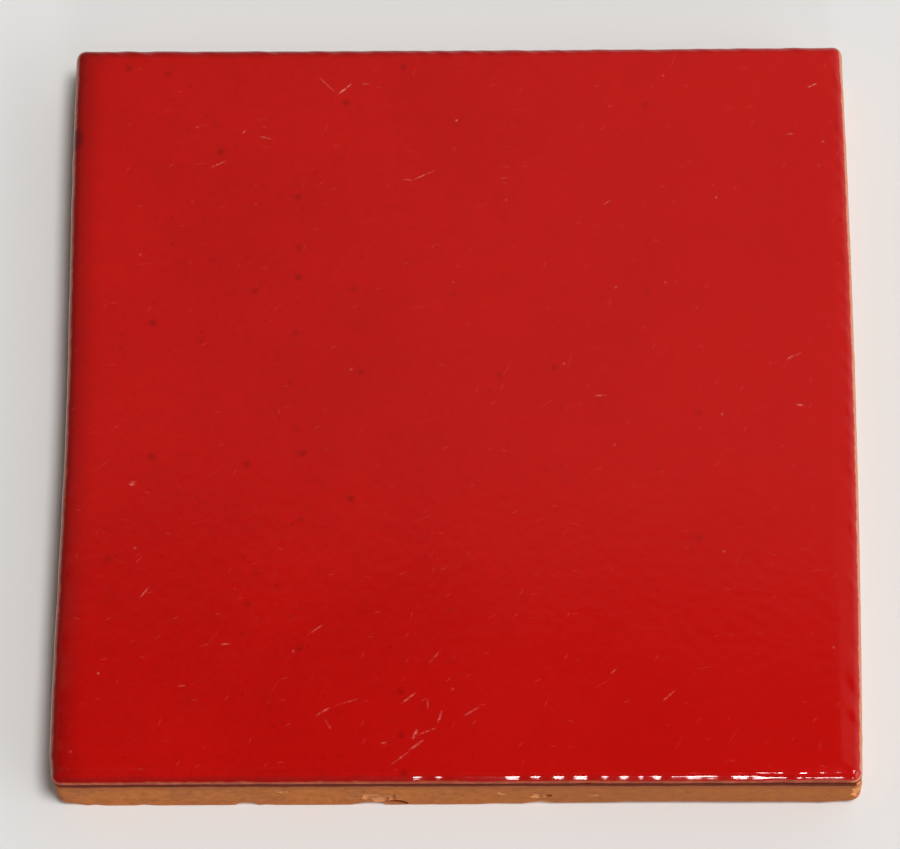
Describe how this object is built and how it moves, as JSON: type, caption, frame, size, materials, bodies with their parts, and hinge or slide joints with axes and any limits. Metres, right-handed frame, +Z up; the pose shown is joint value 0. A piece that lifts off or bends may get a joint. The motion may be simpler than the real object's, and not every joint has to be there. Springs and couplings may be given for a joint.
{
  "type": "glazed terracotta floor tile",
  "caption": "Square floor tile of fired red clay with bare sides, and a glossy red glaze over its face and rounded upper edges.",
  "frame": {"origin": "on the underside, at the middle of the overall size", "axes": "+Z up through the glazed face, +X along the front side, +Y from the front side to the back side"},
  "size_m": [0.15, 0.15, 0.015],
  "materials": {
    "terracotta": "matt fired clay, slightly rough, with cut marks and chips",
    "red_glaze": "glossy red glaze, gently uneven, with fine pale scratches and a rolled lip"
  },
  "bodies": {
    "root": {"clay_body": "terracotta", "glaze_coat": "red_glaze"}
  },
  "joints": []
}
